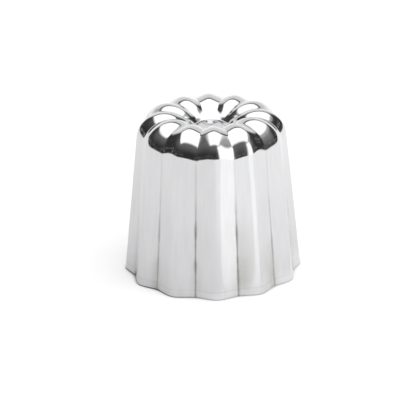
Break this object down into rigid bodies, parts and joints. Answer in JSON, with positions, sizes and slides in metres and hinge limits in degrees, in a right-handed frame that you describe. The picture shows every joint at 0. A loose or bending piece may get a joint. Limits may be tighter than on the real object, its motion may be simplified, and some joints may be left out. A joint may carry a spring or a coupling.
{
  "type": "canele mould",
  "caption": "Fluted, tapered deep-drawn metal baking mould with a rounded shoulder, a ring of lobes round a sunken closed end and an open mouth to rest on.",
  "frame": {"origin": "centre of the mouth, in the plane of the rim that the mould stands on", "axes": "+Z along the mould's axis from the mouth to the closed end, -Y through one ridge"},
  "size_m": [0.055, 0.055, 0.0516],
  "materials": {
    "polished_sheet": "polished"
  },
  "bodies": {
    "root": {"mould_shell": "polished_sheet"}
  },
  "joints": []
}
